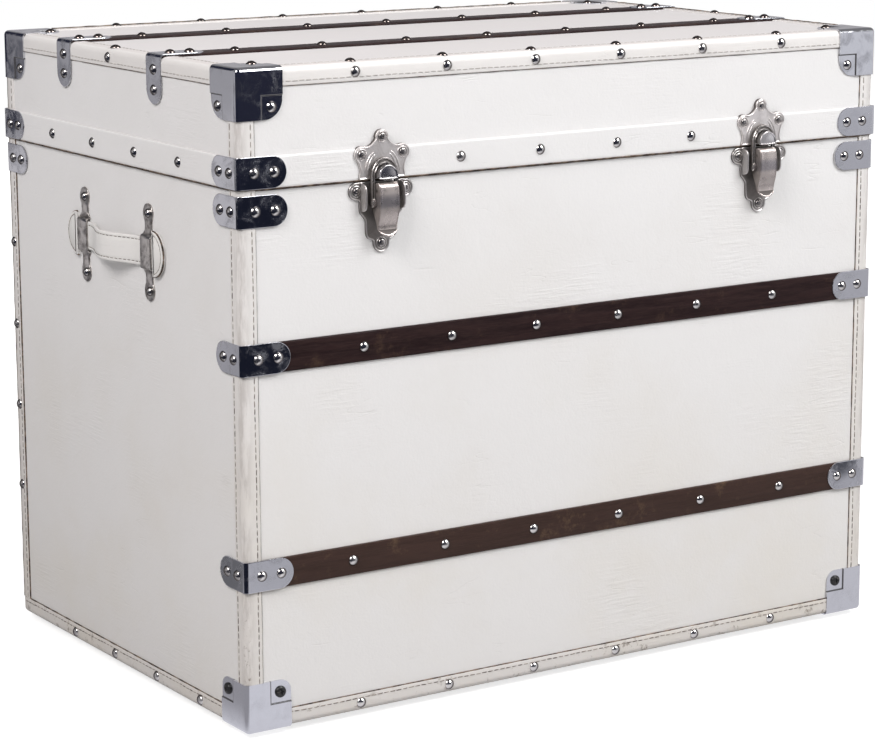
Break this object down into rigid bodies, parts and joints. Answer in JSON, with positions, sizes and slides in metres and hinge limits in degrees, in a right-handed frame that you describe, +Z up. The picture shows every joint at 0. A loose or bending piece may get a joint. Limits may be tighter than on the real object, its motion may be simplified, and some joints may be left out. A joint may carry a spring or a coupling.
{
  "type": "storage trunk",
  "caption": "Leather covered travelling trunk with hinged lid, wood slats, metal corner caps and clamps, drawbolt latches and a leather strap handle on each end.",
  "frame": {"origin": "on the floor, under the middle of the trunk", "axes": "+Z up; the front with the latches faces -Y; the ends with the handles face -X and +X"},
  "size_m": [0.757, 0.5046, 0.6092],
  "materials": {
    "plywood": "bare, sanded",
    "lining_cloth": "plain woven",
    "body_leather": "off-white, finely creased, lightly soiled",
    "binding_leather": "off-white, stitched, brown raw edge",
    "handle_leather": "off-white, stitched, dark edge",
    "dark_wood": "dark stain, worn satin",
    "polished_chrome": "polished",
    "domed_heads": "polished domes",
    "nickel_plate": "nickel plated, slightly dulled",
    "black_screws": "black oxide",
    "steel": "zinc plated"
  },
  "bodies": {
    "base": {"base_back_panel": "plywood", "base_bottom_binding": "binding_leather", "base_bottom_panel": "plywood", "base_corner_bindings": "binding_leather", "base_front_panel": "plywood", "base_leather": "body_leather", "base_left_panel": "plywood", "base_lining": "lining_cloth", "base_nails": "domed_heads", "base_right_panel": "plywood", "base_rivets": "domed_heads", "base_seam_clamps": "polished_chrome", "foot_cap_screws": "black_screws", "foot_corner_caps": "polished_chrome", "front_slat_clamps": "polished_chrome", "front_slat_lower": "dark_wood", "front_slat_upper": "dark_wood", "glides": "steel", "handle_screws": "nickel_plate", "hinge_base_leaves": "steel", "hinge_pins": "steel", "latch_base_screws": "nickel_plate", "latch_pivot_pins": "nickel_plate", "left_handle_loops": "nickel_plate", "left_latch_base": "nickel_plate", "right_handle_loops": "nickel_plate", "right_latch_base": "nickel_plate"},
    "lid": {"hinge_lid_leaves": "steel", "latch_keeper_screws": "nickel_plate", "left_latch_keeper": "nickel_plate", "lid_back_rail": "plywood", "lid_corner_bindings": "binding_leather", "lid_corner_caps": "polished_chrome", "lid_front_rail": "plywood", "lid_leather": "body_leather", "lid_left_rail": "plywood", "lid_lining": "lining_cloth", "lid_nails": "domed_heads", "lid_right_rail": "plywood", "lid_rivets": "domed_heads", "lid_seam_band": "binding_leather", "lid_seam_clamps": "polished_chrome", "lid_top_binding": "binding_leather", "lid_top_panel": "plywood", "right_latch_keeper": "nickel_plate", "top_slat_clamps": "polished_chrome", "top_slat_front": "dark_wood", "top_slat_rear": "dark_wood"},
    "left_strap": {"left_handle": "handle_leather"},
    "left_lever": {"left_latch_lever": "nickel_plate"},
    "left_link": {"left_latch_link": "nickel_plate"},
    "right_strap": {"right_handle": "handle_leather"},
    "right_lever": {"right_latch_lever": "nickel_plate"},
    "right_link": {"right_latch_link": "nickel_plate"}
  },
  "joints": [
    {"name": "lid_hinge", "type": "hinge", "parent": "base", "child": "lid", "pos_m": [0, 0.2415, 0.498], "axis": [-1, 0, 0], "range_deg": [0, 100]},
    {"name": "left_lever_pivot", "type": "hinge", "parent": "base", "child": "left_lever", "pos_m": [-0.217, -0.2457, 0.489], "axis": [-1, 0, 0], "range_deg": [0, 115]},
    {"name": "left_link_pivot", "type": "hinge", "parent": "left_lever", "child": "left_link", "pos_m": [-0.217, -0.2422, 0.478], "axis": [-1, 0, 0], "range_deg": [-92, 0]},
    {"name": "right_lever_pivot", "type": "hinge", "parent": "base", "child": "right_lever", "pos_m": [0.217, -0.2457, 0.489], "axis": [-1, 0, 0], "range_deg": [0, 115]},
    {"name": "right_link_pivot", "type": "hinge", "parent": "right_lever", "child": "right_link", "pos_m": [0.217, -0.2422, 0.478], "axis": [-1, 0, 0], "range_deg": [-92, 0]},
    {"name": "left_strap_slide", "type": "slide", "parent": "base", "child": "left_strap", "axis": [0, 1, 0], "range_m": [-0.002, 0.002]},
    {"name": "right_strap_slide", "type": "slide", "parent": "base", "child": "right_strap", "axis": [0, 1, 0], "range_m": [-0.002, 0.002]}
  ],
  "couplings": [
    {"joint": "left_link_pivot", "follows": "left_lever_pivot", "ratio": -0.8},
    {"joint": "right_link_pivot", "follows": "right_lever_pivot", "ratio": -0.8}
  ]
}
